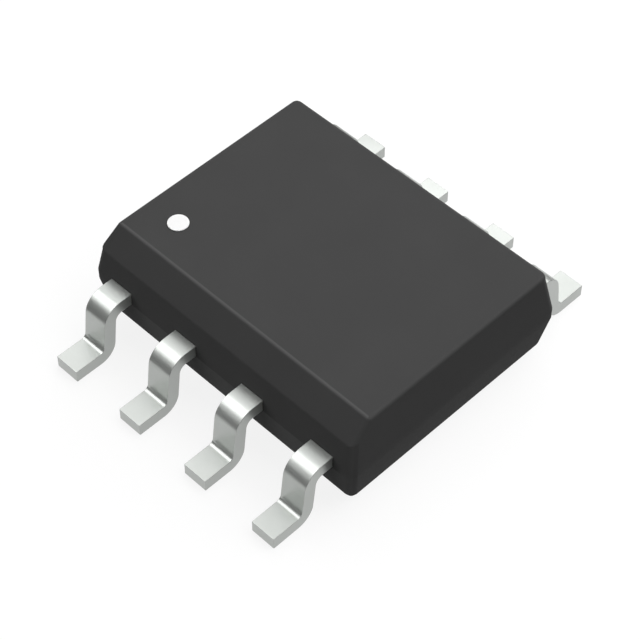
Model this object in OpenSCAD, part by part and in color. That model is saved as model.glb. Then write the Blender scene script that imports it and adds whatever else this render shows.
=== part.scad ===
// Power switch chip in an eight-lead small-outline package.
// Millimetres, +Z up. The origin is the middle of the footprint, on the board.
// Pins 1 to 4 run along +X on the -Y side, and pins 5 to 8 run back on the +Y side.

/* [Moulding] */
// Length of the moulding along the lead rows, at its parting land
body_l = 4.90; // [4.70:0.05:5.10]
// Width of the moulding between the lead rows, at its parting land
body_w = 3.90; // [3.75:0.05:4.05]
// Thickness of the moulding, from its underside to its top
body_t = 1.445; // [1.35:0.005:1.60]
// Gap between the board and the underside of the moulding
standoff = 0.14; // [0.10:0.01:0.20]
// Height of the upright land where the two mould halves meet
land_h = 0.16; // [0.10:0.01:0.20]
// How far the land reaches below the lead frame
land_drop = 0.01; // [0.005:0.005:0.04]
// Lean of the end faces above the land, in degrees
end_draft = 8.2; // [4:0.1:12]
// Lean of the lead-side faces above the land, in degrees
side_draft = 10.6; // [4:0.1:14]
// Lean of all four faces below the land, in degrees
base_draft = 9.9; // [4:0.1:12]
// Radius of the rounded top, bevel and bottom edges
edge_r = 0.10; // [0.05:0.01:0.14]
// Radius of the upright corners at the land
corner_r = 0.12; // [0.06:0.01:0.20]
// Width that the bevel over pins 1 to 4 takes from the top face
bevel_w = 0.28; // [0.20:0.01:0.45]
// Slope of that bevel, in degrees from the board
bevel_slope = 41; // [38:1:52]
// Diameter of the ejector pin's mark on the underside
ejector_d = 1.00; // [0.80:0.05:1.40]
// Depth of the ejector pin's mark
ejector_depth = 0.03; // [0.02:0.005:0.05]

/* [Leads] */
// Distance between neighbouring leads
lead_pitch = 1.27; // [1.20:0.01:1.30]
// Width of a lead
lead_w = 0.40; // [0.33:0.01:0.48]
// Thickness of the lead frame's sheet
lead_t = 0.20; // [0.17:0.01:0.25]
// Distance across the tips of opposite leads
lead_span = 6.00; // [5.90:0.05:6.20]
// Height of the lead frame's underside above the board
frame_h = 0.745; // [0.68:0.005:0.80]
// Length of a foot, from its tip to the corner of its heel
foot_l = 0.68; // [0.55:0.01:0.75]
// Outward lean of the shank between the two bends, in degrees
shank_lean = 7; // [0:0.5:10]
// Inside radius of the shoulder bend, next to the moulding
shoulder_r = 0.12; // [0.08:0.01:0.16]
// Inside radius of the heel bend, above the foot
heel_r = 0.08; // [0.05:0.01:0.12]

/* [Lead frame inside] */
// Width of the bond post at the inner end of a lead
post_w = 0.70; // [0.50:0.05:0.85]
// Length of the bond post
post_l = 0.40; // [0.30:0.05:0.45]
// Gap between the bond posts and the die pad
post_gap = 0.20; // [0.15:0.01:0.25]
// Length of the die pad along the lead rows
pad_l = 3.20; // [2.80:0.05:3.40]
// Width of the die pad
pad_w = 2.20; // [1.90:0.05:2.30]
// How far the die pad is pressed below the leads
pad_drop = 0.20; // [0.12:0.01:0.30]
// Width of the tie bars that held the die pad during moulding
tie_w = 0.40; // [0.25:0.05:0.60]
// Straight length of a tie bar before it ramps up
tie_stub = 0.12; // [0.11:0.01:0.20]
// Slope of the ramp in a tie bar, in degrees
tie_ramp = 45; // [35:1:50]
// Moulding left over the end of a tie bar
tie_cover = 0.15; // [0.10:0.01:0.20]

/* [Silicon] */
// Length of the silicon die along the lead rows
die_l = 1.60; // [1.30:0.05:2.40]
// Width of the silicon die
die_w = 1.30; // [1.00:0.05:1.80]
// Thickness of the silicon die
die_t = 0.25; // [0.15:0.01:0.32]
// Thickness of the adhesive under the die
attach_t = 0.025; // [0.015:0.005:0.05]
// How far the adhesive squeezes out round the die
attach_lip = 0.05; // [0.02:0.01:0.10]

/* [Bond wires] */
// Diameter of a bond wire
wire_d = 0.05; // [0.03:0.005:0.06]
// Diameter of the bond at each end of a wire
bond_d = 0.12; // [0.09:0.01:0.16]
// Height of the bond at each end of a wire
bond_h = 0.05; // [0.04:0.005:0.06]
// Rise of the wire loop above the die
loop_h = 0.18; // [0.12:0.01:0.25]
// Distance from the die's edge to its row of bonds
bond_inset = 0.12; // [0.09:0.01:0.20]
// Distance between neighbouring bonds on the die
bond_pitch = 0.40; // [0.25:0.01:0.42]

/* [Pin 1 mark] */
// Diameter of the printed dot
dot_d = 0.30; // [0.20:0.01:0.50]
// Thickness of the ink
dot_t = 0.015; // [0.010:0.005:0.030]
// Distance from the dot's middle to the end edge of the top face
dot_from_end = 0.59; // [0.40:0.01:0.80]
// Distance from the dot's middle to the top edge of the bevel
dot_from_bevel = 0.55; // [0.40:0.01:0.80]

/* [Hidden] */
LEADS = [1, 2, 3, 4, 5, 6, 7, 8];

// Smoothness of discs, of rounded edges, of the leads' bends and of the wires' sweep
$fn = 64;
edge_fn = 32;
bend_steps = 12;
wire_sides = 8;
wire_steps = 10;

// Share of a cubic curve's control height that the curve itself reaches
curve_share = 4 / 9;
// How far along its run, and how high, the wire's last control point lies
wire_reach = 0.35;
wire_settle = 0.30;

// Heights above the board
body_top = standoff + body_t;
land_z0 = frame_h - land_drop;
land_z1 = land_z0 + land_h;
frame_top = frame_h + lead_t;
pad_z0 = frame_h - pad_drop;
pad_top = pad_z0 + lead_t;
die_z0 = pad_top + attach_t;
die_top = die_z0 + die_t;

// A flat face in a section is [lean of its normal above level, distance from the origin]
function face(lean, reach, z) = [lean, reach * cos(lean) + z * sin(lean)];

// The same face moved inwards by r
function inset(f, r) = [f[0], f[1] - r];

// The point of a section, [reach, z], where two faces meet
function meet(f, g) =
    let (s = sin(g[0] - f[0]))
    [(f[1] * sin(g[0]) - g[1] * sin(f[0])) / s, (g[1] * cos(f[0]) - f[1] * cos(g[0])) / s];

// The reach of a face at height z
function reach_at(f, z) = (f[1] - z * sin(f[0])) / cos(f[0]);

// Faces of the moulding
top_face = face(90, 0, body_top);
bottom_face = face(-90, 0, standoff);
end_face = face(end_draft, body_l / 2, land_z1);
side_face = face(side_draft, body_w / 2, land_z1);
low_end_face = face(-base_draft, body_l / 2, land_z0);
low_side_face = face(-base_draft, body_w / 2, land_z0);
bevel_top_y = reach_at(side_face, body_top) - bevel_w;
bevel_face = face(90 - bevel_slope, bevel_top_y, body_top);

// Middles of the round edges, each [reach, z] in its section
top_end = meet(inset(end_face, edge_r), inset(top_face, edge_r));
top_side = meet(inset(side_face, edge_r), inset(top_face, edge_r));
bevel_high = meet(inset(bevel_face, edge_r), inset(top_face, edge_r));
bevel_low = meet(inset(side_face, edge_r), inset(bevel_face, edge_r));
bevel_low_end = reach_at(inset(end_face, edge_r), bevel_low[1]);
low_end = meet(inset(low_end_face, edge_r), inset(bottom_face, edge_r));
low_side = meet(inset(low_side_face, edge_r), inset(bottom_face, edge_r));

// Shape of a lead, in its own section: [reach from the middle of the package, z]
tip = lead_span / 2;
heel_corner = tip - foot_l;
heel_z = lead_t + heel_r;
heel_y = heel_corner + heel_z * (cos(shank_lean) - (1 - sin(shank_lean)) * tan(shank_lean));
shoulder_z = frame_h - shoulder_r;
bend_gap = heel_r + shoulder_r + lead_t;
shank_l = (shoulder_z - heel_z + bend_gap * sin(shank_lean)) / cos(shank_lean);
shoulder_y = heel_y - bend_gap * cos(shank_lean) - shank_l * sin(shank_lean);
heel_mid = [heel_y, heel_z];
shoulder_mid = [shoulder_y, shoulder_z];
post_tip = pad_w / 2 + post_gap;

// Points of a bend round mid, from one angle to another
function arc(mid, r, from, to) = [
    for (i = [0 : bend_steps])
        let (turn = from + (to - from) * i / bend_steps)
        mid + r * [cos(turn), sin(turn)]
];

// Side of a pin's row, its place along the row, and where its wire lands
function row_side(pin) = pin <= len(LEADS) / 2 ? -1 : 1;
function row_place(pin) =
    let (half = len(LEADS) / 2)
    pin <= half ? pin - (half + 1) / 2 : len(LEADS) - pin - (half - 1) / 2;
function die_bond(pin) =
    [row_place(pin) * bond_pitch, row_side(pin) * (die_w / 2 - bond_inset), die_top];
function post_bond(pin) =
    [row_place(pin) * lead_pitch, row_side(pin) * (post_tip + post_l / 2), frame_top];

// Point and direction at t along the cubic curve with control points p
function curve(p, t) =
    pow(1 - t, 3) * p[0] + 3 * pow(1 - t, 2) * t * p[1] + 3 * (1 - t) * t * t * p[2] + pow(t, 3) * p[3];
function heading(p, t) =
    pow(1 - t, 2) * (p[1] - p[0]) + 2 * (1 - t) * t * (p[2] - p[1]) + t * t * (p[3] - p[2]);
function unit(v) = v / norm(v);

// Ball that rounds a corner, with points on its axis
module corner_ball(r) {
    rotate_extrude($fn = edge_fn)
        intersection() {
            circle(r, $fn = edge_fn);
            translate([0, -r])
                square([r, 2 * r]);
        }
}

// Outer form of the moulding: drafted halves, land, bevel and round edges
module moulding() {
    hull() {
        for (sx = [-1, 1]) {
            translate([sx * top_end[0], top_side[0], top_end[1]])
                corner_ball(edge_r);
            translate([sx * top_end[0], -bevel_high[0], bevel_high[1]])
                corner_ball(edge_r);
            translate([sx * bevel_low_end, -bevel_low[0], bevel_low[1]])
                corner_ball(edge_r);
            for (sy = [-1, 1]) {
                translate([sx * (body_l / 2 - corner_r), sy * (body_w / 2 - corner_r), land_z0])
                    cylinder(h = land_h, r = corner_r, $fn = edge_fn);
                translate([sx * low_end[0], sy * low_side[0], low_end[1]])
                    corner_ball(edge_r);
            }
        }
    }
}

// Moulding with the seats of everything that it was moulded round
module mould_body() {
    color([0.20, 0.20, 0.21])
        difference() {
            moulding();
            translate([0, 0, standoff - ejector_depth])
                cylinder(h = 2 * ejector_depth, d = ejector_d);
            for (pin = LEADS) {
                lead(pin);
                bond_wire(pin);
            }
            die_pad();
            die_attach();
            silicon_die();
        }
}

// Gull-wing section of a lead, from the tip of its bond post to the tip of its foot
module lead_section() {
    polygon(concat(
        [[post_tip, frame_top]],
        arc(shoulder_mid, shoulder_r + lead_t, 90, shank_lean),
        arc(heel_mid, heel_r, 180 + shank_lean, 270),
        [[tip, lead_t], [tip, 0]],
        arc(heel_mid, heel_r + lead_t, 270, 180 + shank_lean),
        arc(shoulder_mid, shoulder_r, shank_lean, 90),
        [[post_tip, frame_h]]
    ));
}

// One lead with the bond post that anchors it in the moulding
module lead(pin) {
    color([0.80, 0.80, 0.78])
        translate([row_place(pin) * lead_pitch, 0, 0])
            rotate(row_side(pin) > 0 ? 0 : 180)
                union() {
                    rotate([90, 0, 90])
                        linear_extrude(lead_w, center = true)
                            lead_section();
                    translate([-post_w / 2, post_tip, frame_h])
                        cube([post_w, post_l, lead_t]);
                }
}

// Side section of a tie bar, from the end of the die pad up to the level of the leads
module tie_section() {
    ramp_start = pad_l / 2 + tie_stub;
    ramp_end = ramp_start + pad_drop / tan(tie_ramp);
    set_back = lead_t * tan(tie_ramp / 2);
    tie_end = body_l / 2 - tie_cover;
    polygon([
        [0, pad_z0],
        [ramp_start, pad_z0],
        [ramp_end, frame_h],
        [tie_end, frame_h],
        [tie_end, frame_top],
        [ramp_end - set_back, frame_top],
        [ramp_start - set_back, pad_top],
        [0, pad_top]
    ]);
}

// Die pad with a tie bar at each end
module die_pad() {
    color([0.72, 0.45, 0.30])
        union() {
            translate([-pad_l / 2, -pad_w / 2, pad_z0])
                cube([pad_l, pad_w, lead_t]);
            for (turn = [0, 180])
                rotate(turn)
                    translate([0, tie_w / 2, 0])
                        rotate([90, 0, 0])
                            linear_extrude(tie_w)
                                tie_section();
        }
}

// Adhesive between the die pad and the die
module die_attach() {
    color([0.62, 0.62, 0.60])
        translate([-die_l / 2 - attach_lip, -die_w / 2 - attach_lip, pad_top])
            cube([die_l + 2 * attach_lip, die_w + 2 * attach_lip, attach_t]);
}

// Silicon die that holds the switch
module silicon_die() {
    color([0.35, 0.36, 0.42])
        translate([-die_l / 2, -die_w / 2, die_z0])
            cube([die_l, die_w, die_t]);
}

// Round wire swept along the cubic curve with control points p, in one upright plane
module swept_wire(p) {
    across = unit(cross([0, 0, 1], p[3] - p[0]));
    rings = [
        for (i = [0 : wire_steps])
            let (up = cross(unit(heading(p, i / wire_steps)), across))
            for (k = [0 : wire_sides - 1])
                let (turn = 360 * k / wire_sides)
                curve(p, i / wire_steps) + wire_d / 2 * (cos(turn) * across + sin(turn) * up)
    ];
    last = wire_steps * wire_sides;
    start_cap = [[for (k = [0 : wire_sides - 1]) k]];
    end_cap = [[for (k = [wire_sides - 1 : -1 : 0]) last + k]];
    walls = [
        for (i = [0 : wire_steps - 1], k = [0 : wire_sides - 1])
            let (a = i * wire_sides + k, b = i * wire_sides + (k + 1) % wire_sides)
            each [[a, a + wire_sides, b], [b, a + wire_sides, b + wire_sides]]
    ];
    polyhedron(points = rings, faces = concat(start_cap, walls, end_cap));
}

// Wire from the die to a lead's post, with the flattened bond at each end
module bond_wire(pin) {
    from = die_bond(pin);
    to = post_bond(pin);
    rise = [0, 0, bond_h / 2];
    start = from + rise;
    finish = to + rise;
    color([0.85, 0.62, 0.35])
        union() {
            for (seat = [from, to])
                translate(seat)
                    cylinder(h = bond_h, d1 = bond_d, d2 = (bond_d + wire_d) / 2);
            swept_wire([
                start,
                start + [0, 0, loop_h / curve_share],
                finish + wire_reach * (start - finish) + [0, 0, wire_settle * loop_h / curve_share],
                finish
            ]);
        }
}

// White dot printed beside pin 1
module pin1_dot() {
    color([0.98, 0.98, 0.98])
        translate([
            dot_from_end - reach_at(end_face, body_top),
            dot_from_bevel - bevel_top_y,
            body_top
        ])
            cylinder(h = dot_t, d = dot_d);
}

mould_body();
die_pad();
die_attach();
silicon_die();
pin1_dot();
for (pin = LEADS) {
    lead(pin);
    bond_wire(pin);
}
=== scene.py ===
"""Looks of a power switch chip in an eight-lead small-outline package.

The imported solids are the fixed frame. The moulding, the leads and the pin 1 dot are modelled again in
their places, in millimetres, and brought to metres when they are finished. The pieces that are sealed
inside the moulding keep their solids and get finishes of their own.
"""

import logging
import math
from collections.abc import Callable, Iterator
from contextlib import contextmanager
from dataclasses import dataclass
from enum import Enum
from functools import cache
from typing import ClassVar

import bmesh
import bpy
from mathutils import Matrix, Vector


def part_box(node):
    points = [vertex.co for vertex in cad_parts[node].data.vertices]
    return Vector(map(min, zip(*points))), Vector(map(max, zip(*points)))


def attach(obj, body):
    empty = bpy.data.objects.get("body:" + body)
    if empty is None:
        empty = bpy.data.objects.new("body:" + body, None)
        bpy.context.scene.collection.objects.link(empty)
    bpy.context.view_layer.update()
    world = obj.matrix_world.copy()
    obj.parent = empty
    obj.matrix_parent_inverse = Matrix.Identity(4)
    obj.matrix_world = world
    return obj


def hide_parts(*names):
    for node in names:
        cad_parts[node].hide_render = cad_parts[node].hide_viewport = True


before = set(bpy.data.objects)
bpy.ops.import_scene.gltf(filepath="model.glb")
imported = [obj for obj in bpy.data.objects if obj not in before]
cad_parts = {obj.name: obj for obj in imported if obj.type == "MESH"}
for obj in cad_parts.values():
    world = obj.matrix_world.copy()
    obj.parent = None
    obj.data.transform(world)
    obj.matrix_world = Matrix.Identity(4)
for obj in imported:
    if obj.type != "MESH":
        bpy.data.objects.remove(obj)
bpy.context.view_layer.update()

LOG = logging.getLogger("power_switch_chip")
MM = 0.001
BODY = "root"
PIN_COUNT = 8
PINS = range(1, PIN_COUNT + 1)
# Name of the vertex attribute that marks painted light: a lighter colour painted as a highlight on the
# moulding's top edges and as fill light on its shaded upright corners.
PAINTED_LIGHT = "painted_light"

# Millimetres within which two places are the same
TOUCH = 1e-4
# Upward parts of a face's normal: an upright face has less than the first, a level face more than the second
UPRIGHT, LEVEL = 0.5, 0.9

Colour = tuple[float, float, float]
FaceTest = Callable[[bmesh.types.BMFace], bool]
EdgeTest = Callable[[bmesh.types.BMEdge], bool]


class Row(Enum):
    """The two rows of leads, by the side of the moulding that they leave."""

    FRONT = -1
    BACK = 1


class RayKind(Enum):
    """Rays that see the studio's white background, by their Light Path output."""

    CAMERA = "Is Camera Ray"
    TRANSMISSION = "Is Transmission Ray"
    GLOSSY = "Is Glossy Ray"


class PanelUse(Enum):
    """What a light panel does: it lights matte surfaces or it shows in glossy ones."""

    LIGHT = "light"
    REFLECTION = "reflection"


class Bench:
    """Modelling steps that the pieces share."""

    @staticmethod
    def clear() -> None:
        """Deselects every object, so that an operator acts on nothing but what comes next."""
        bpy.ops.object.select_all(action="DESELECT")

    @staticmethod
    def take(piece: bpy.types.Object) -> None:
        """Makes one object the only selected and the active one.

        Args:
            piece: The object.
        """
        Bench.clear()
        piece.select_set(True)
        bpy.context.view_layer.objects.active = piece

    @staticmethod
    @contextmanager
    def edit(piece: bpy.types.Object) -> Iterator[None]:
        """Opens a piece in edit mode for the length of a with block.

        Args:
            piece: The mesh object to open.

        Returns:
            A context manager that leaves edit mode at its end.
        """
        Bench.take(piece)
        bpy.ops.object.mode_set(mode="EDIT")
        yield
        bpy.ops.object.mode_set(mode="OBJECT")

    @staticmethod
    def pick_faces(piece: bpy.types.Object, wanted: FaceTest) -> None:
        """Selects only the faces that pass a test, in edit mode.

        Args:
            piece: The open piece.
            wanted: The test of a face.
        """
        bpy.ops.mesh.select_mode(type="FACE")
        bpy.ops.mesh.select_all(action="DESELECT")
        mesh = bmesh.from_edit_mesh(piece.data)
        for face in mesh.faces:
            if wanted(face):
                face.select_set(True)
        bmesh.update_edit_mesh(piece.data)

    @staticmethod
    def pick_edges(piece: bpy.types.Object, wanted: EdgeTest) -> None:
        """Selects only the edges that pass a test, in edit mode.

        Args:
            piece: The open piece.
            wanted: The test of an edge.
        """
        bpy.ops.mesh.select_mode(type="EDGE")
        bpy.ops.mesh.select_all(action="DESELECT")
        mesh = bmesh.from_edit_mesh(piece.data)
        for edge in mesh.edges:
            if wanted(edge):
                edge.select_set(True)
        bmesh.update_edit_mesh(piece.data)

    @staticmethod
    def extrude(shift: Vector) -> None:
        """Extrudes the selected faces along a shift."""
        bpy.ops.mesh.extrude_region_move(TRANSFORM_OT_translate={"value": shift})

    @staticmethod
    def cut(piece: bpy.types.Object, tool: bpy.types.Object) -> None:
        """Cuts a tool out of a piece and removes the tool.

        Args:
            piece: The mesh object that is cut.
            tool: The closed mesh object that is taken away from it.
        """
        Bench.take(piece)
        seat = piece.modifiers.new("seat", "BOOLEAN")
        seat.operation = "DIFFERENCE"
        seat.solver = "EXACT"
        seat.object = tool
        bpy.ops.object.modifier_apply(modifier=seat.name)
        bpy.data.objects.remove(tool)

    @staticmethod
    def finish_mesh(piece: bpy.types.Object) -> None:
        """Smooths a piece with its flat faces kept flat, and brings it from millimetres to metres.

        Args:
            piece: The finished shape, in millimetres.
        """
        Bench.take(piece)
        bpy.ops.object.shade_smooth()
        flats = piece.modifiers.new("flats", "WEIGHTED_NORMAL")
        flats.keep_sharp = False
        bpy.ops.object.modifier_apply(modifier=flats.name)
        piece.scale = (MM, MM, MM)
        bpy.ops.object.transform_apply(location=True, rotation=True, scale=True)


class Nodes:
    """A small writer of shader nodes."""

    def __init__(self, tree: bpy.types.NodeTree) -> None:
        """Starts on a tree that may hold nodes already."""
        self.tree = tree

    def add(self, kind: str, **settings: object) -> bpy.types.Node:
        """Adds a node and sets its properties.

        Args:
            kind: The node's type name.
            settings: Properties of the node.

        Returns:
            The new node.
        """
        node = self.tree.nodes.new(kind)
        for name, value in settings.items():
            setattr(node, name, value)
        return node

    def link(self, source: bpy.types.NodeSocket, target: bpy.types.NodeSocket) -> None:
        """Links an output to an input."""
        self.tree.links.new(source, target)

    @staticmethod
    def grey(level: float) -> tuple[float, float, float, float]:
        """Gives an opaque grey, where 1 is white."""
        return (level, level, level, 1.0)

    def noise(self, place: bpy.types.NodeSocket, scale: bpy.types.NodeSocket,
              octaves: float) -> bpy.types.NodeSocket:
        """Adds a noise texture.

        Args:
            place: The coordinates that it reads.
            scale: The output that gives its scale.
            octaves: Its number of octaves.

        Returns:
            The noise's value.
        """
        texture = self.add("ShaderNodeTexNoise")
        texture.inputs["Detail"].default_value = octaves
        self.link(place, texture.inputs["Vector"])
        self.link(scale, texture.inputs["Scale"])
        return texture.outputs["Fac"]

    def spread(self, value: bpy.types.NodeSocket, low: float, high: float) -> bpy.types.NodeSocket:
        """Spreads the middle of a noise's range over two limits.

        Args:
            value: The noise's value.
            low: The result where the noise is low.
            high: The result where the noise is high.

        Returns:
            The spread value.
        """
        noise_low, noise_high = 0.3, 0.7
        ramp = self.add("ShaderNodeMapRange")
        ramp.inputs["From Min"].default_value = noise_low
        ramp.inputs["From Max"].default_value = noise_high
        ramp.inputs["To Min"].default_value = low
        ramp.inputs["To Max"].default_value = high
        self.link(value, ramp.inputs["Value"])
        return ramp.outputs["Result"]

    def mix(self, mask: bpy.types.NodeSocket, first: Colour | bpy.types.NodeSocket,
            second: Colour) -> bpy.types.NodeSocket:
        """Mixes two colours by a mask.

        Args:
            mask: The mask, 0 for the first colour and 1 for the second.
            first: The first colour, or the output that gives it.
            second: The second colour.

        Returns:
            The mixed colour.
        """
        factor, colour_a, colour_b, result = 0, 6, 7, 2
        mixer = self.add("ShaderNodeMix", data_type="RGBA")
        if isinstance(first, tuple):
            mixer.inputs[colour_a].default_value = (*first, 1.0)
        else:
            self.link(first, mixer.inputs[colour_a])
        mixer.inputs[colour_b].default_value = (*second, 1.0)
        self.link(mask, mixer.inputs[factor])
        return mixer.outputs[result]


class SurfaceGroups:
    """Shader node groups that more than one finish uses, each placed with the finish's own values."""

    OCTAVES = 3.0

    @staticmethod
    def _start(name: str, inputs: dict[str, float],
               outputs: tuple[str, ...]) -> tuple[Nodes, bpy.types.Node]:
        """Starts a group with named value sockets.

        Args:
            name: The group's name.
            inputs: The names of its inputs, with the value of each before a finish sets its own.
            outputs: The names of its outputs.

        Returns:
            The group's writer and the node that gives its inputs.
        """
        tree = bpy.data.node_groups.new(name, "ShaderNodeTree")
        for socket, value in inputs.items():
            made = tree.interface.new_socket(socket, in_out="INPUT", socket_type="NodeSocketFloat")
            made.default_value = value
        for socket in outputs:
            tree.interface.new_socket(socket, in_out="OUTPUT", socket_type="NodeSocketFloat")
        nodes = Nodes(tree)
        return nodes, nodes.add("NodeGroupInput")

    @staticmethod
    def _millimetres(nodes: Nodes) -> bpy.types.NodeSocket:
        """Adds the object coordinates in millimetres.

        Args:
            nodes: The writer of the group.

        Returns:
            The coordinates.
        """
        coordinates = nodes.add("ShaderNodeTexCoord")
        scaled = nodes.add("ShaderNodeMapping")
        scaled.inputs["Scale"].default_value = (1 / MM, 1 / MM, 1 / MM)
        nodes.link(coordinates.outputs["Object"], scaled.inputs["Vector"])
        return scaled.outputs["Vector"]

    @staticmethod
    @cache
    def fine_grain() -> bpy.types.NodeTree:
        """Grain and cloudy patches of a moulded or printed surface.

        Returns:
            A group with a Fine and a Cloud output, both noise values about 0.5.
        """
        inputs = {"Fine per mm": 30.0, "Clouds per mm": 1.0}
        nodes, given = SurfaceGroups._start("fine_grain", inputs, ("Fine", "Cloud"))
        place = SurfaceGroups._millimetres(nodes)
        out = nodes.add("NodeGroupOutput")
        for socket, result in zip(inputs, ("Fine", "Cloud")):
            noise = nodes.noise(place, given.outputs[socket], SurfaceGroups.OCTAVES)
            nodes.link(noise, out.inputs[result])
        return nodes.tree

    @staticmethod
    @cache
    def drawn_streaks() -> bpy.types.NodeTree:
        """Fine lines that run along rolled and stamped metal, across X, and cloudy patches.

        Returns:
            A group with a Fine and a Cloud output, both noise values about 0.5.
        """
        inputs = {"Fine per mm": 1.5, "Clouds per mm": 2.0}
        lines_to_length = 18.0
        nodes, given = SurfaceGroups._start("drawn_streaks", inputs, ("Fine", "Cloud"))
        place = SurfaceGroups._millimetres(nodes)
        out = nodes.add("NodeGroupOutput")
        stretch = nodes.add("ShaderNodeMapping")
        stretch.inputs["Scale"].default_value = (lines_to_length, 1.0, 1.0)
        nodes.link(place, stretch.inputs["Vector"])
        streak = nodes.noise(stretch.outputs["Vector"], given.outputs["Fine per mm"], SurfaceGroups.OCTAVES)
        cloud = nodes.noise(place, given.outputs["Clouds per mm"], SurfaceGroups.OCTAVES)
        nodes.link(streak, out.inputs["Fine"])
        nodes.link(cloud, out.inputs["Cloud"])
        return nodes.tree


@dataclass(frozen=True)
class Finish:
    """A finish whose colour, gloss and relief follow one shared group.

    Attributes:
        name: The material's name.
        dark: The colour where the group's cloud is low.
        light: The colour where it is high.
        smooth: The roughness where the group's fine detail is low.
        rough: The roughness where it is high.
        relief_mm: The depth of the fine detail.
        fine: The fineness of that detail, per millimetre.
        clouds: The fineness of the clouds, per millimetre.
        metallic: How far the finish is bare metal, from 0 to 1.
        specular: The strength of the gloss of a finish that isn't metal.
        painted_light_colour: The lighter colour painted in as light, a highlight on edges and fill light on
            shaded corners, on a piece that has it.
    """

    name: str
    dark: Colour
    light: Colour
    smooth: float
    rough: float
    relief_mm: float
    fine: float
    clouds: float
    metallic: float = 0.0
    specular: float = 0.5
    painted_light_colour: Colour | None = None

    @cache
    def make(self) -> bpy.types.Material:
        """Makes the material once, for all the pieces that have this finish.

        Returns:
            The material.
        """
        material = bpy.data.materials.new(self.name)
        material.use_nodes = True
        nodes = Nodes(material.node_tree)
        shader = material.node_tree.nodes["Principled BSDF"]
        shader.inputs["Metallic"].default_value = self.metallic
        shader.inputs["Specular IOR Level"].default_value = self.specular
        group = nodes.add("ShaderNodeGroup")
        group.node_tree = SurfaceGroups.drawn_streaks() if self.metallic else SurfaceGroups.fine_grain()
        group.inputs["Fine per mm"].default_value = self.fine
        group.inputs["Clouds per mm"].default_value = self.clouds
        detail = group.outputs["Fine"]
        mask = nodes.spread(group.outputs["Cloud"], low=0.0, high=1.0)
        colour = nodes.mix(mask, self.dark, self.light)
        # Paints light into the base colour: where the attribute marks it, the colour turns to the lighter
        # painted-light colour, a painted highlight on edges and painted fill light on shaded corners.
        if self.painted_light_colour is not None:
            painted_light = nodes.add("ShaderNodeAttribute", attribute_name=PAINTED_LIGHT)
            colour = nodes.mix(painted_light.outputs["Fac"], colour, self.painted_light_colour)
        nodes.link(colour, shader.inputs["Base Color"])
        nodes.link(nodes.spread(detail, self.smooth, self.rough), shader.inputs["Roughness"])
        bump = nodes.add("ShaderNodeBump")
        bump.inputs["Distance"].default_value = self.relief_mm * MM
        nodes.link(detail, bump.inputs["Height"])
        nodes.link(bump.outputs["Normal"], shader.inputs["Normal"])
        return material

    def dress(self, piece: bpy.types.Object) -> None:
        """Gives a piece this finish in place of any that it has.

        Args:
            piece: The modelled piece or the solid.
        """
        if not piece.material_slots:
            piece.data.materials.append(None)
        for place in piece.material_slots:
            place.material = self.make()


# The moulding's lighter grey of 0.097 is painted light: a highlight on the top edges and fill light on the
# shaded upright corners.
MOULD_COMPOUND = Finish(
    "epoxy_black", dark=(0.0515, 0.0515, 0.0515), light=(0.0545, 0.0545, 0.0545), smooth=0.55, rough=0.65,
    relief_mm=0.0008, fine=28.0, clouds=1.1, specular=0.020, painted_light_colour=(0.097, 0.097, 0.097))
TIN_PLATE = Finish(
    "tin_plate", dark=(0.465, 0.485, 0.465), light=(0.485, 0.503, 0.485), smooth=0.276, rough=0.292,
    relief_mm=0.00001, fine=2.2, clouds=2.3, metallic=0.6)
COPPER = Finish(
    "copper_sheet", dark=(0.62, 0.34, 0.21), light=(0.72, 0.42, 0.28), smooth=0.28, rough=0.40,
    relief_mm=0.0006, fine=1.6, clouds=1.5, metallic=1.0)
GOLD = Finish(
    "bond_gold", dark=(0.80, 0.55, 0.22), light=(0.86, 0.63, 0.30), smooth=0.16, rough=0.24,
    relief_mm=0.0002, fine=3.0, clouds=6.0, metallic=1.0)
SILVER_EPOXY = Finish(
    "silver_epoxy", dark=(0.45, 0.45, 0.44), light=(0.60, 0.60, 0.58), smooth=0.45, rough=0.65,
    relief_mm=0.0030, fine=40.0, clouds=4.0)
SILICON = Finish(
    "die_silicon", dark=(0.085, 0.09, 0.12), light=(0.11, 0.115, 0.15), smooth=0.12, rough=0.18,
    relief_mm=0.0002, fine=12.0, clouds=2.0, specular=0.9)
WHITE_INK = Finish(
    "white_ink", dark=(0.78, 0.78, 0.78), light=(0.81, 0.81, 0.81), smooth=0.55, rough=0.70,
    relief_mm=0.0008, fine=45.0, clouds=6.0, specular=0.2)


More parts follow.
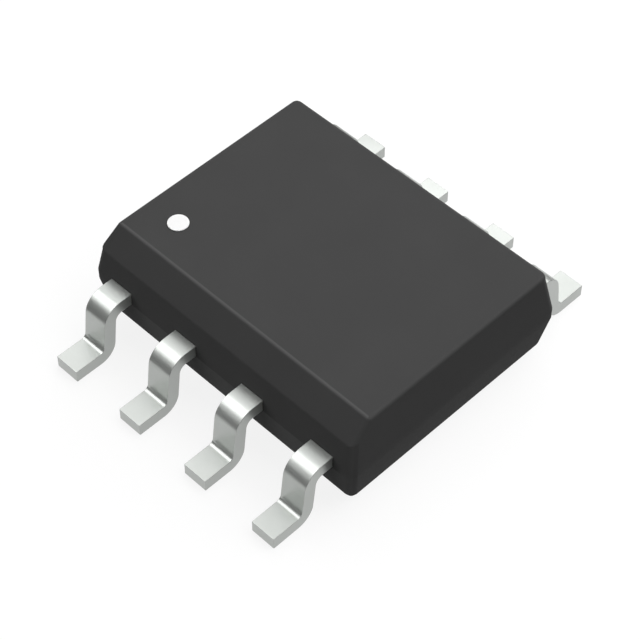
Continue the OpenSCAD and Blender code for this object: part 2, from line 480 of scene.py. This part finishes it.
@dataclass
class Lead:
    """A gull-wing lead with the bond post that anchors it in the moulding, in millimetres.

    Attributes:
        pitch: The distance between neighbouring leads.
        tip: The reach of the foot's tip from the middle of the package.
        top: The height of the upper side of the lead frame.
        post_tip: The reach of the bond post's inner end.
        post_width: The width of the bond post.
        width: The width of a lead.
        thickness: The thickness of the sheet.
        foot: The length of a foot, from its tip to the corner of its heel.
        lean: The outward lean of the shank, in degrees.
        shoulder_r: The inside radius of the bend next to the moulding.
        heel_r: The inside radius of the bend above the foot.
        post_length: The length of the bond post.
        edge_r: The rounding of the stamped edges.
        sharp: The turn, in degrees, from which an edge is a stamped one.
        bend_steps: The number of segments in a bend.
        edge_steps: The number of segments in a rounded edge.
    """

    pitch: float
    tip: float
    top: float
    post_tip: float
    post_width: float
    width: float = 0.40
    thickness: float = 0.20
    foot: float = 0.68
    lean: float = 7.0
    shoulder_r: float = 0.12
    heel_r: float = 0.08
    post_length: float = 0.40
    edge_r: float = 0.006
    sharp: float = 40.0
    bend_steps: int = 24
    edge_steps: int = 3

    @classmethod
    def from_frame(cls) -> "Lead":
        """Takes the lead's reach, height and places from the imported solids.

        Returns:
            The lead.
        """
        low, high = (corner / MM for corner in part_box("lead_1"))
        next_low, _ = (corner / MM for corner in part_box("lead_2"))
        return cls(pitch=next_low.x - low.x, tip=-low.y, top=high.z, post_tip=-high.y,
                   post_width=high.x - low.x)

    def place(self, pin: int) -> tuple[Row, float]:
        """Finds where a pin's lead stands.

        Args:
            pin: The pin's number.

        Returns:
            The row and the place along it.
        """
        half = PIN_COUNT // 2
        if pin <= half:
            return Row.FRONT, (pin - (half + 1) / 2) * self.pitch
        return Row.BACK, (PIN_COUNT - pin - (half - 1) / 2) * self.pitch

    def model(self) -> bpy.types.Object:
        """Models one lead of the front row at the middle of the row, with sharp edges.

        Returns:
            The lead, in millimetres.
        """
        lean = math.radians(self.lean)
        bend = math.pi / 2 - lean
        heel_z = self.thickness + self.heel_r
        heel_corner = self.tip - self.foot
        heel_y = heel_corner + heel_z * (math.cos(lean) - (1 - math.sin(lean)) * math.tan(lean))
        shoulder_z = self.top - self.thickness - self.shoulder_r
        gap = self.heel_r + self.shoulder_r + self.thickness
        shank = (shoulder_z - heel_z + gap * math.sin(lean)) / math.cos(lean)
        shoulder_y = heel_y - gap * math.cos(lean) - shank * math.sin(lean)
        post_root = self.post_tip + self.post_length
        Bench.clear()
        bpy.ops.mesh.primitive_plane_add(size=1, location=(0, -self.tip, self.thickness / 2),
                                         rotation=(math.pi / 2, 0, 0))
        lead = bpy.context.active_object
        lead.scale = (self.width, self.thickness, 1)
        bpy.ops.object.transform_apply(location=True, rotation=True, scale=True)
        with Bench.edit(lead):
            bpy.ops.mesh.select_all(action="SELECT")
            Bench.extrude(Vector((0, self.tip - heel_y, 0)))
            bpy.ops.mesh.spin(steps=self.bend_steps, angle=-bend, center=(0, -heel_y, heel_z),
                              axis=(1, 0, 0))
            Bench.extrude(shank * Vector((0, math.sin(lean), math.cos(lean))))
            bpy.ops.mesh.spin(steps=self.bend_steps, angle=bend, center=(0, -shoulder_y, shoulder_z),
                              axis=(1, 0, 0))
            Bench.extrude(Vector((0, shoulder_y - post_root, 0)))
            Bench.extrude(Vector((0, 0, 0)))
            bpy.ops.transform.resize(value=(self.post_width / self.width, 1, 1), center_override=(0, 0, 0))
            Bench.extrude(Vector((0, self.post_length, 0)))
            bpy.ops.mesh.select_all(action="SELECT")
            bpy.ops.mesh.remove_doubles(threshold=TOUCH)
            bpy.ops.mesh.dissolve_degenerate(threshold=TOUCH)
            bpy.ops.mesh.normals_make_consistent(inside=False)
        return lead

    def round_edges(self, piece: bpy.types.Object) -> None:
        """Rounds the stamped edges of a lead.

        Args:
            piece: The sharp-edged lead.
        """
        with Bench.edit(piece):
            bpy.ops.mesh.select_mode(type="EDGE")
            bpy.ops.mesh.select_all(action="DESELECT")
            bpy.ops.mesh.edges_select_sharp(sharpness=math.radians(self.sharp))
            bpy.ops.mesh.bevel(offset=self.edge_r, segments=self.edge_steps, affect="EDGES")

    def copy_to(self, pattern: bpy.types.Object, pin: int) -> bpy.types.Object:
        """Copies the modelled lead to a pin's place, with a mesh of its own.

        Args:
            pattern: The modelled lead.
            pin: The pin's number.

        Returns:
            The copy, in millimetres.
        """
        row, along = self.place(pin)
        copy = pattern.copy()
        copy.data = pattern.data.copy()
        copy.name = f"gull_lead_{pin}"
        bpy.context.collection.objects.link(copy)
        copy.location.x = along
        copy.rotation_euler.z = math.pi if row is Row.BACK else 0.0
        Bench.take(copy)
        bpy.ops.object.transform_apply(location=True, rotation=True, scale=True)
        return copy


@dataclass(frozen=True)
class PaintedLight:
    """How much light is painted into the colour of an edge or a corner: a highlight on an edge, fill light
    on a shaded corner.

    Attributes:
        tilt: The tilt of the surface at which the painted light is strongest, in degrees. For an upright
            corner it is the turn of the surface in plan.
        spread: The angle to either side within which the painted light fades out, in degrees.
        strength: The most painted light, from 0 to 1.
    """

    tilt: float
    spread: float
    strength: float

    def at(self, tilt: float) -> float:
        """Tells how much light is painted on a surface of a tilt.

        Args:
            tilt: The tilt or turn, in degrees.

        Returns:
            The painted light, from 0 to 1.
        """
        return self.strength * max(0.0, 1.0 - abs(tilt - self.tilt) / self.spread)


@dataclass
class Moulding:
    """The epoxy moulding, in millimetres and degrees.

    Attributes:
        length: Its length along the lead rows, at the land.
        width: Its width between the lead rows, at the land.
        bottom: The height of its underside.
        top: The height of its top.
        lead_top: The height of the upper side of the lead frame.
        lead_thickness: The thickness of the lead frame.
        land: The height of the upright land where the mould halves meet.
        land_drop: How far the land reaches below the lead frame.
        end_draft: The lean of the end faces above the land.
        side_draft: The lean of the side faces above the land.
        base_draft: The lean of all faces below the land.
        bevel_width: The width that the bevel over the front row takes from the top.
        bevel_slope: The slope of that bevel.
        edge_r: The radius of the bevel's upper edge and of the bottom edges.
        fine_r: The radius of the other edges of the top and the bevel.
        corner_r: The radius of the upright corners.
        mark_r: The radius of the ejector pin's mark.
        mark_depth: The depth of that mark.
        bevel_highlight: The painted highlight along the bevel's upper edge.
        rim_highlight: The painted highlight along the other edges of the top.
        corner_fill_light: The painted light that lightens the shaded upright corners, by the turn of the
            surface in plan.
        corner_zone: The distance from the land's corners that holds those corners.
        edge_steps: The number of segments in a rounded edge.
        mark_steps: The number of segments in the mark's rim.
    """

    length: float
    width: float
    bottom: float
    top: float
    lead_top: float
    lead_thickness: float
    land: float = 0.16
    land_drop: float = 0.01
    end_draft: float = 8.2
    side_draft: float = 10.6
    base_draft: float = 9.9
    bevel_width: float = 0.28
    bevel_slope: float = 41.0
    edge_r: float = 0.10
    fine_r: float = 0.06
    corner_r: float = 0.12
    mark_r: float = 0.50
    mark_depth: float = 0.03
    bevel_highlight: PaintedLight = PaintedLight(tilt=14.0, spread=16.0, strength=1.0)
    rim_highlight: PaintedLight = PaintedLight(tilt=28.0, spread=26.0, strength=0.20)
    corner_fill_light: PaintedLight = PaintedLight(tilt=45.0, spread=36.0, strength=0.38)
    corner_zone: float = 0.30
    edge_steps: int = 8
    mark_steps: int = 96

    @classmethod
    def from_frame(cls, lead: Lead) -> "Moulding":
        """Takes the moulding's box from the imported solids.

        Args:
            lead: The leads that it holds.

        Returns:
            The moulding.
        """
        low, high = (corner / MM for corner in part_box("mould_body"))
        size = high - low
        return cls(length=size.x, width=size.y, bottom=low.z, top=high.z, lead_top=lead.top,
                   lead_thickness=lead.thickness)

    @property
    def bevel_top_y(self) -> float:
        """The distance of the bevel's upper edge from the middle, before it is rounded."""
        rise = self.top - self._land_ends()[1]
        return self.width / 2 - rise * math.tan(math.radians(self.side_draft)) - self.bevel_width

    def _land_ends(self) -> tuple[float, float]:
        """The heights of the land's lower and upper edges."""
        low = self.lead_top - self.lead_thickness - self.land_drop
        return low, low + self.land

    def _pull(self, piece: bpy.types.Object, rise: float, end_draft: float, side_draft: float) -> None:
        """Extrudes the top or bottom face with a draft.

        Args:
            piece: The open moulding.
            rise: How far the face goes along Z.
            end_draft: The lean of the end faces.
            side_draft: The lean of the side faces.
        """
        Bench.pick_faces(piece, lambda face: face.normal.z * rise > LEVEL * abs(rise))
        Bench.extrude(Vector((0, 0, rise)))
        narrow_x = 1 - 2 * abs(rise) * math.tan(math.radians(end_draft)) / self.length
        narrow_y = 1 - 2 * abs(rise) * math.tan(math.radians(side_draft)) / self.width
        bpy.ops.transform.resize(value=(narrow_x, narrow_y, 1), center_override=(0, 0, 0))

    def _radius(self, edge: bmesh.types.BMEdge) -> float:
        """Tells the radius of an edge from the two faces that meet at it.

        Args:
            edge: An edge of the drafted moulding.

        Returns:
            The radius.
        """
        lower, upper = sorted(face.normal.z for face in edge.link_faces)
        if lower > -UPRIGHT and upper < UPRIGHT:
            return self.corner_r
        over_bevel = upper > LEVEL and lower > UPRIGHT
        return self.edge_r if over_bevel or lower < -LEVEL else self.fine_r

    def _round_edges(self, piece: bpy.types.Object) -> None:
        """Rounds the rims and the upright corners, and leaves the land's faint edges sharp.

        Args:
            piece: The drafted moulding.
        """
        land_low, land_high = self._land_ends()
        weights: dict[int, float] = {}
        Bench.take(piece)
        mesh = bmesh.new()
        mesh.from_mesh(piece.data)
        layer = mesh.edges.layers.float.new("bevel_weight_edge")
        for edge in mesh.edges:
            ends = [vertex.co for vertex in edge.verts]
            level = abs(ends[0].z - ends[1].z) < TOUCH
            if level and min(abs(ends[0].z - land_low), abs(ends[0].z - land_high)) < TOUCH:
                continue
            weights[edge.index] = self._radius(edge) * math.tan(edge.calc_face_angle() / 2)
        widest = max(weights.values())
        for edge in mesh.edges:
            edge[layer] = weights.get(edge.index, 0.0) / widest
        mesh.to_mesh(piece.data)
        mesh.free()
        rounding = piece.modifiers.new("rounding", "BEVEL")
        rounding.limit_method = "WEIGHT"
        rounding.width = widest
        rounding.segments = self.edge_steps
        rounding.use_clamp_overlap = False
        bpy.ops.object.modifier_apply(modifier=rounding.name)

    def paint_light(self, piece: bpy.types.Object) -> None:
        """Marks where light is painted: a highlight along the upper edges, most of all the one over the
        bevel, and fill light on the shaded upright corners.

        Args:
            piece: The finished moulding, in metres.
        """
        # The attribute holds painted light, which the moulding's finish mixes into its colour as a lighter
        # grey.
        marks = piece.data.attributes.new(PAINTED_LIGHT, "FLOAT", "POINT")
        for vertex, mark in zip(piece.data.vertices, marks.data):
            mark.value = self._painted_light_at(vertex.co / MM, vertex.normal)

    def _painted_light_at(self, place: Vector, normal: Vector) -> float:
        """Tells how much light is painted at a point of the surface.

        Args:
            place: The point, in millimetres.
            normal: The normal there.

        Returns:
            The painted light, from 0 to 1.
        """
        # Upright corners get painted fill light where they fall in shade.
        if abs(normal.z) < UPRIGHT:
            inset = max(self.length / 2 - abs(place.x), self.width / 2 - abs(place.y))
            turn = math.degrees(math.atan2(abs(normal.y), abs(normal.x)))
            return self.corner_fill_light.at(turn) if inset < self.corner_zone else 0.0
        if place.z < self.top - self.edge_r:
            return 0.0
        # Top edges get a painted highlight, strongest along the bevel's upper edge.
        at_end = abs(normal.x) > abs(normal.y)
        over_bevel = place.y < -self.bevel_top_y + self.edge_r and not at_end
        painted = self.bevel_highlight if over_bevel else self.rim_highlight
        return painted.at(math.degrees(normal.angle(Vector((0, 0, 1)))))

    def model(self, seats: list[bpy.types.Object]) -> bpy.types.Object:
        """Models the moulding round its leads.

        Args:
            seats: The leads, which leave their seats in it.

        Returns:
            The moulding, in millimetres.
        """
        land_low, land_high = self._land_ends()
        Bench.clear()
        bpy.ops.mesh.primitive_cube_add(size=1, location=(0, 0, (land_low + land_high) / 2),
                                        scale=(self.length, self.width, self.land))
        piece = bpy.context.active_object
        piece.name = "moulding"
        bpy.ops.object.transform_apply(location=True, rotation=True, scale=True)
        slope = math.radians(self.bevel_slope)
        with Bench.edit(piece):
            self._pull(piece, self.top - land_high, self.end_draft, self.side_draft)
            self._pull(piece, self.bottom - land_low, self.base_draft, self.base_draft)
            bpy.ops.mesh.select_all(action="SELECT")
            bpy.ops.mesh.bisect(plane_co=(0, -self.bevel_top_y, self.top),
                                plane_no=(0, -math.sin(slope), math.cos(slope)),
                                use_fill=True, clear_outer=True, threshold=TOUCH)
        self._round_edges(piece)
        Bench.cut(piece, self._ejector_pin())
        for seat in seats:
            tool = seat.copy()
            tool.data = seat.data.copy()
            bpy.context.collection.objects.link(tool)
            Bench.cut(piece, tool)
        return piece

    def _ejector_pin(self) -> bpy.types.Object:
        """Makes the end of the ejector pin, as a tool that leaves its mark.

        Returns:
            The tool.
        """
        Bench.clear()
        bpy.ops.mesh.primitive_cylinder_add(vertices=self.mark_steps, radius=self.mark_r,
                                            depth=2 * self.mark_depth, location=(0, 0, self.bottom))
        return bpy.context.active_object


@dataclass
class PinMark:
    """The white dot printed beside pin 1, in millimetres.

    Attributes:
        low: The lowest corner of the dot's box.
        high: The highest corner of that box.
        rim: The width of the ink's rounded rim.
        rim_steps: The number of segments in the rim.
        sides: The number of segments round the dot.
    """

    low: Vector
    high: Vector
    rim: float = 0.007
    rim_steps: int = 3
    sides: int = 96

    @classmethod
    def from_frame(cls) -> "PinMark":
        """Takes the dot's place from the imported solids."""
        low, high = (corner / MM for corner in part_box("pin1_dot"))
        return cls(low, high)

    def model(self) -> bpy.types.Object:
        """Models the dot.

        Returns:
            The dot, in millimetres.
        """
        middle = (self.low + self.high) / 2
        Bench.clear()
        bpy.ops.mesh.primitive_circle_add(vertices=self.sides, radius=(self.high.x - self.low.x) / 2,
                                          fill_type="NGON", location=(middle.x, middle.y, self.low.z))
        dot = bpy.context.active_object
        dot.name = "pin1_mark"
        bpy.ops.object.transform_apply(location=True, rotation=True, scale=True)
        with Bench.edit(dot):
            bpy.ops.mesh.select_all(action="SELECT")
            Bench.extrude(Vector((0, 0, self.high.z - self.low.z)))
            bpy.ops.mesh.select_all(action="SELECT")
            bpy.ops.mesh.normals_make_consistent(inside=False)
            Bench.pick_edges(dot, lambda edge: all(abs(v.co.z - self.high.z) < TOUCH for v in edge.verts))
            bpy.ops.mesh.bevel(offset=self.rim, segments=self.rim_steps, affect="EDGES")
        return dot


@dataclass
class Package:
    """The moulding with its leads and its mark.

    Attributes:
        lead: The shape of the leads.
        moulding: The moulding that holds them.
        mark: The dot on the moulding.
    """

    lead: Lead
    moulding: Moulding
    mark: PinMark

    @classmethod
    def from_frame(cls) -> "Package":
        """Takes the package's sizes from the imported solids."""
        lead = Lead.from_frame()
        return cls(lead, Moulding.from_frame(lead), PinMark.from_frame())

    def build(self) -> None:
        """Models and dresses the pieces that show."""
        pattern = self.lead.model()
        leads = [self.lead.copy_to(pattern, pin) for pin in PINS]
        bpy.data.objects.remove(pattern)
        body = self.moulding.model(leads)
        self._settle(body, "mould_body", "mould_compound", MOULD_COMPOUND)
        # Paints highlights on the moulding's top edges and fill light on its shaded corners.
        self.moulding.paint_light(body)
        for pin, lead in zip(PINS, leads):
            self.lead.round_edges(lead)
            self._settle(lead, f"lead_{pin}", "tinned_lead", TIN_PLATE)
        self._settle(self.mark.model(), "pin1_dot", "marking_ink", WHITE_INK)

    @staticmethod
    def _settle(piece: bpy.types.Object, node: str, slot: str, finish: Finish) -> None:
        """Finishes a piece and puts it in place of its solid.

        Args:
            piece: The modelled piece, in millimetres.
            node: The solid that it stands for.
            slot: The record's material slot; not used.
            finish: The piece's finish.
        """
        Bench.finish_mesh(piece)
        finish.dress(piece)
        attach(piece, BODY)
        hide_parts(node)
        LOG.info("%s stands for %s, %d faces", piece.name, node, len(piece.data.polygons))


@dataclass
class SealedPieces:
    """The solids inside the moulding, with the finish of each.

    Attributes:
        finishes: The finish of each solid, by its node's name.
    """

    finishes: dict[str, Finish]

    @classmethod
    def from_frame(cls) -> "SealedPieces":
        """Lists the solids that the moulding hides."""
        wires = {f"bond_wire_{pin}": GOLD for pin in PINS}
        return cls({"die_pad": COPPER, "die_attach": SILVER_EPOXY, "silicon_die": SILICON, **wires})

    def build(self) -> None:
        """Dresses the solids."""
        for node, finish in self.finishes.items():
            finish.dress(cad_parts[node])
            LOG.info("%s keeps its solid, in %s", node, finish.name)


@dataclass(frozen=True)
class Panel:
    """A soft light panel.

    Attributes:
        name: The lamp's name.
        centre: The place of its middle, in millimetres.
        aim: The point that it faces, in millimetres.
        width: Its width, in millimetres.
        depth: Its depth, in millimetres.
        radiance: The brightness of its face, where 1 is white.
        use: What the panel does.
        WATTS: The lamp power per area that makes a face of brightness 1.
    """

    name: str
    centre: tuple[float, float, float]
    aim: tuple[float, float, float]
    width: float
    depth: float
    radiance: float
    use: PanelUse
    WATTS: ClassVar[float] = 4.0

    def build(self) -> None:
        """Hangs the panel."""
        lamp = bpy.data.lights.new(self.name, "AREA")
        lamp.shape = "RECTANGLE"
        lamp.size = self.width * MM
        lamp.size_y = self.depth * MM
        lamp.energy = self.WATTS * self.radiance * lamp.size * lamp.size_y
        holder = bpy.data.objects.new(self.name, lamp)
        bpy.context.collection.objects.link(holder)
        holder.location = Vector(self.centre) * MM
        holder.rotation_euler = (Vector(self.centre) - Vector(self.aim)).to_track_quat("Z", "Y").to_euler()
        holder.visible_camera = False
        holder.visible_diffuse = self.use is PanelUse.LIGHT
        holder.visible_glossy = self.use is PanelUse.REFLECTION
        LOG.info("%s, brightness %.2f", self.name, self.radiance)


@dataclass(frozen=True)
class Studio:
    """A pale table in a white room, with soft panels and the photograph's camera.

    Attributes:
        table_r: The radius of the table, in millimetres.
        table_drop: The hair's breadth between the feet and the table, in millimetres.
        glow: The part of the table's white that the chip's shadow leaves alone.
        fade_r: The distance from the chip, in millimetres, at which the table starts to turn plain white.
        white_r: The distance from which it is plain white.
        room_light: The strength of the room's light on the chip.
        room_shine: The brightness of the room's ceiling, and of the whole room as metal shows it.
        wall_top: The height above the horizon, in degrees, at which the white walls start to fade.
        ceiling: The height above the horizon, in degrees, at which the ceiling starts.
        card_low: The height of the dark card's lower edge, in millimetres. The card only shows in metal.
        card_low_r: The radius of that edge.
        card_high: The height of the card's upper edge.
        card_high_r: The radius of that edge.
        card_grey: The card's grey.
        azimuth: The camera's direction round the chip, in degrees.
        elevation: The camera's height above the horizon, in degrees.
        distance: The camera's distance from its aim, in millimetres.
        aim: The point that it looks at, in millimetres.
        lens: Its focal length, in millimetres.
        sensor: The width of its sensor, in millimetres.
        ring_steps: The number of segments round the table and the card.
    """

    table_r: float = 400.0
    table_drop: float = 0.004
    glow: float = 0.86
    fade_r: float = 12.0
    white_r: float = 40.0
    room_light: float = 0.212
    room_shine: float = 0.80
    wall_top: float = 10.0
    ceiling: float = 22.0
    card_low: float = 0.08
    card_low_r: float = 4.65
    card_high: float = 2.3
    card_high_r: float = 6.06
    card_grey: float = 0.05
    azimuth: float = 44.996
    elevation: float = 50.229
    distance: float = 28.231
    aim: tuple[float, float, float] = (0.138, -0.204, 0.5)
    lens: float = 117.123
    sensor: float = 36.0
    ring_steps: int = 128

    def build(self, panels: list[Panel]) -> None:
        """Sets up the table, the room, the panels and the camera.

        Args:
            panels: The light panels.
        """
        self._table()
        self._dark_card()
        self._room()
        for panel in panels:
            panel.build()
        self._camera()
        bpy.context.scene.view_settings.view_transform = "Standard"

    @staticmethod
    def _strength(nodes: Nodes, unseen: float, seen: float | bpy.types.NodeSocket,
                  mirrored: float) -> bpy.types.NodeSocket:
        """Gives a surface one strength to the rays that see it as the background, and another to the rest.

        Args:
            nodes: The writer of a material's or the world's tree.
            unseen: The strength for rays that only light the chip.
            seen: The strength for rays that see the background, directly or through glass, or the output
                that gives it.
            mirrored: The strength for rays that see it in metal.

        Returns:
            The strength.
        """
        path = nodes.add("ShaderNodeLightPath")
        strength: float | bpy.types.NodeSocket = unseen
        for kind in RayKind:
            step = nodes.add("ShaderNodeMix")
            nodes.link(path.outputs[kind.value], step.inputs["Factor"])
            levels = {"A": strength, "B": mirrored if kind is RayKind.GLOSSY else seen}
            for socket, level in levels.items():
                if isinstance(level, float):
                    step.inputs[socket].default_value = level
                else:
                    nodes.link(level, step.inputs[socket])
            strength = step.outputs["Result"]
        return strength

    def _table(self) -> None:
        """Makes the table, white with the chip's shadow, plain white far off and clear from below."""
        Bench.clear()
        bpy.ops.mesh.primitive_circle_add(vertices=self.ring_steps, radius=self.table_r * MM,
                                          fill_type="NGON", location=(0, 0, -self.table_drop * MM))
        table = bpy.context.active_object
        table.name = "table"
        material = bpy.data.materials.new("table_white")
        material.use_nodes = True
        material.node_tree.nodes.clear()
        nodes = Nodes(material.node_tree)
        shadowed = nodes.add("ShaderNodeBsdfDiffuse")
        shadowed.inputs["Color"].default_value = Nodes.grey(1 - self.glow)
        white = nodes.add("ShaderNodeEmission")
        glow = self._strength(nodes, unseen=0.0, seen=self.glow, mirrored=self.glow)
        nodes.link(glow, white.inputs["Strength"])
        plain = nodes.add("ShaderNodeEmission")
        full = self._strength(nodes, unseen=0.0, seen=1.0, mirrored=1.0)
        nodes.link(full, plain.inputs["Strength"])
        near = nodes.add("ShaderNodeAddShader")
        for part, target in zip((shadowed, white), near.inputs):
            nodes.link(part.outputs[0], target)
        side = nodes.add("ShaderNodeNewGeometry")
        clear = nodes.add("ShaderNodeBsdfTransparent")
        upper = self._either(nodes, self._far(nodes), near, plain)
        either = self._either(nodes, side.outputs["Backfacing"], upper, clear)
        output = nodes.add("ShaderNodeOutputMaterial")
        nodes.link(either.outputs[0], output.inputs["Surface"])
        table.data.materials.append(material)
        table.visible_diffuse = False
        table.visible_shadow = False

    @staticmethod
    def _either(nodes: Nodes, mask: bpy.types.NodeSocket, first: bpy.types.Node,
                second: bpy.types.Node) -> bpy.types.Node:
        """Mixes two shaders.

        Args:
            nodes: The writer of a material's tree.
            mask: The mask, 0 for the first shader and 1 for the second.
            first: The first shader.
            second: The second shader.

        Returns:
            The mixing node.
        """
        mixer = nodes.add("ShaderNodeMixShader")
        for source, target in zip((mask, first.outputs[0], second.outputs[0]), mixer.inputs):
            nodes.link(source, target)
        return mixer

    def _far(self, nodes: Nodes) -> bpy.types.NodeSocket:
        """Makes a mask of the table's far part.

        Args:
            nodes: The writer of the table's tree.

        Returns:
            The mask, 0 by the chip and 1 far off.
        """
        coordinates = nodes.add("ShaderNodeTexCoord")
        reach = nodes.add("ShaderNodeVectorMath", operation="LENGTH")
        nodes.link(coordinates.outputs["Object"], reach.inputs[0])
        mask = nodes.add("ShaderNodeMapRange")
        mask.inputs["From Min"].default_value = self.fade_r * MM
        mask.inputs["From Max"].default_value = self.white_r * MM
        nodes.link(reach.outputs["Value"], mask.inputs["Value"])
        return mask.outputs["Result"]

    def _dark_card(self) -> None:
        """Stands a ring of dark card round the chip, which gives the bends of bright metal their edges."""
        Bench.clear()
        height = (self.card_high - self.card_low) * MM
        middle = (self.card_high + self.card_low) * MM / 2
        bpy.ops.mesh.primitive_cone_add(vertices=self.ring_steps, radius1=self.card_low_r * MM,
                                        radius2=self.card_high_r * MM, depth=height,
                                        end_fill_type="NOTHING", location=(0, 0, middle))
        card = bpy.context.active_object
        card.name = "dark_card"
        material = bpy.data.materials.new("card_grey")
        material.use_nodes = True
        material.node_tree.nodes.clear()
        nodes = Nodes(material.node_tree)
        grey = nodes.add("ShaderNodeEmission")
        grey.inputs["Strength"].default_value = self.card_grey
        output = nodes.add("ShaderNodeOutputMaterial")
        nodes.link(grey.outputs[0], output.inputs["Surface"])
        card.data.materials.append(material)
        card.visible_camera = False
        card.visible_diffuse = False
        card.visible_shadow = False
        card.visible_transmission = False

    def _room(self) -> None:
        """Makes the room, white where its walls are seen and softer where it lights the chip."""
        world = bpy.data.worlds.new("white_room")
        bpy.context.scene.world = world
        world.use_nodes = True
        world.node_tree.nodes.clear()
        nodes = Nodes(world.node_tree)
        light = nodes.add("ShaderNodeBackground")
        output = nodes.add("ShaderNodeOutputWorld")
        light.inputs["Color"].default_value = Nodes.grey(1.0)
        direction = nodes.add("ShaderNodeTexCoord")
        height = nodes.add("ShaderNodeSeparateXYZ")
        nodes.link(direction.outputs["Object"], height.inputs[0])
        seen = nodes.add("ShaderNodeMapRange")
        seen.inputs["From Min"].default_value = math.sin(math.radians(self.wall_top))
        seen.inputs["From Max"].default_value = math.sin(math.radians(self.ceiling))
        seen.inputs["To Min"].default_value = 1.0
        seen.inputs["To Max"].default_value = self.room_shine
        nodes.link(height.outputs["Z"], seen.inputs["Value"])
        strength = self._strength(nodes, self.room_light, seen.outputs["Result"], self.room_shine)
        nodes.link(strength, light.inputs["Strength"])
        nodes.link(light.outputs[0], output.inputs["Surface"])

    def _camera(self) -> None:
        """Places the camera as the photograph was taken."""
        azimuth, elevation = math.radians(self.azimuth), math.radians(self.elevation)
        back = Vector((math.sin(azimuth) * math.cos(elevation), -math.cos(azimuth) * math.cos(elevation),
                       math.sin(elevation)))
        camera = bpy.data.cameras.new("camera")
        camera.lens = self.lens
        camera.sensor_width = self.sensor
        camera.clip_start = MM
        holder = bpy.data.objects.new("camera", camera)
        bpy.context.collection.objects.link(holder)
        holder.location = (Vector(self.aim) + self.distance * back) * MM
        holder.rotation_euler = back.to_track_quat("Z", "Y").to_euler()
        bpy.context.scene.camera = holder


PANELS = [
    Panel("overhead_panel", centre=(3.0, 34.0, 40.0), aim=(0.0, 0.0, 0.0), width=110.0, depth=80.0,
          radiance=1.97, use=PanelUse.LIGHT),
    Panel("front_panel", centre=(-20.0, -59.0, 16.0), aim=(0.0, 0.0, 1.0), width=60.0, depth=24.0,
          radiance=2.2, use=PanelUse.LIGHT),
    Panel("back_panel", centre=(-36.0, 38.0, 30.0), aim=(-36.0, 38.0, 0.0), width=52.0, depth=42.0,
          radiance=1.4, use=PanelUse.REFLECTION),
    Panel("mid_panel", centre=(-36.0, 10.0, 30.0), aim=(-36.0, 10.0, 0.0), width=52.0, depth=14.0,
          radiance=0.78, use=PanelUse.REFLECTION),
    Panel("key_panel", centre=(-14.9, -10.9, 28.6), aim=(0.7, -2.3, 0.5), width=23.0, depth=25.5,
          radiance=2.2, use=PanelUse.REFLECTION),
]


def main() -> None:
    """Builds the chip and its studio."""
    logging.basicConfig(level=logging.INFO, format="%(message)s")
    Package.from_frame().build()
    SealedPieces.from_frame().build()
    Studio().build(PANELS)


if __name__ == "__main__":
    main()
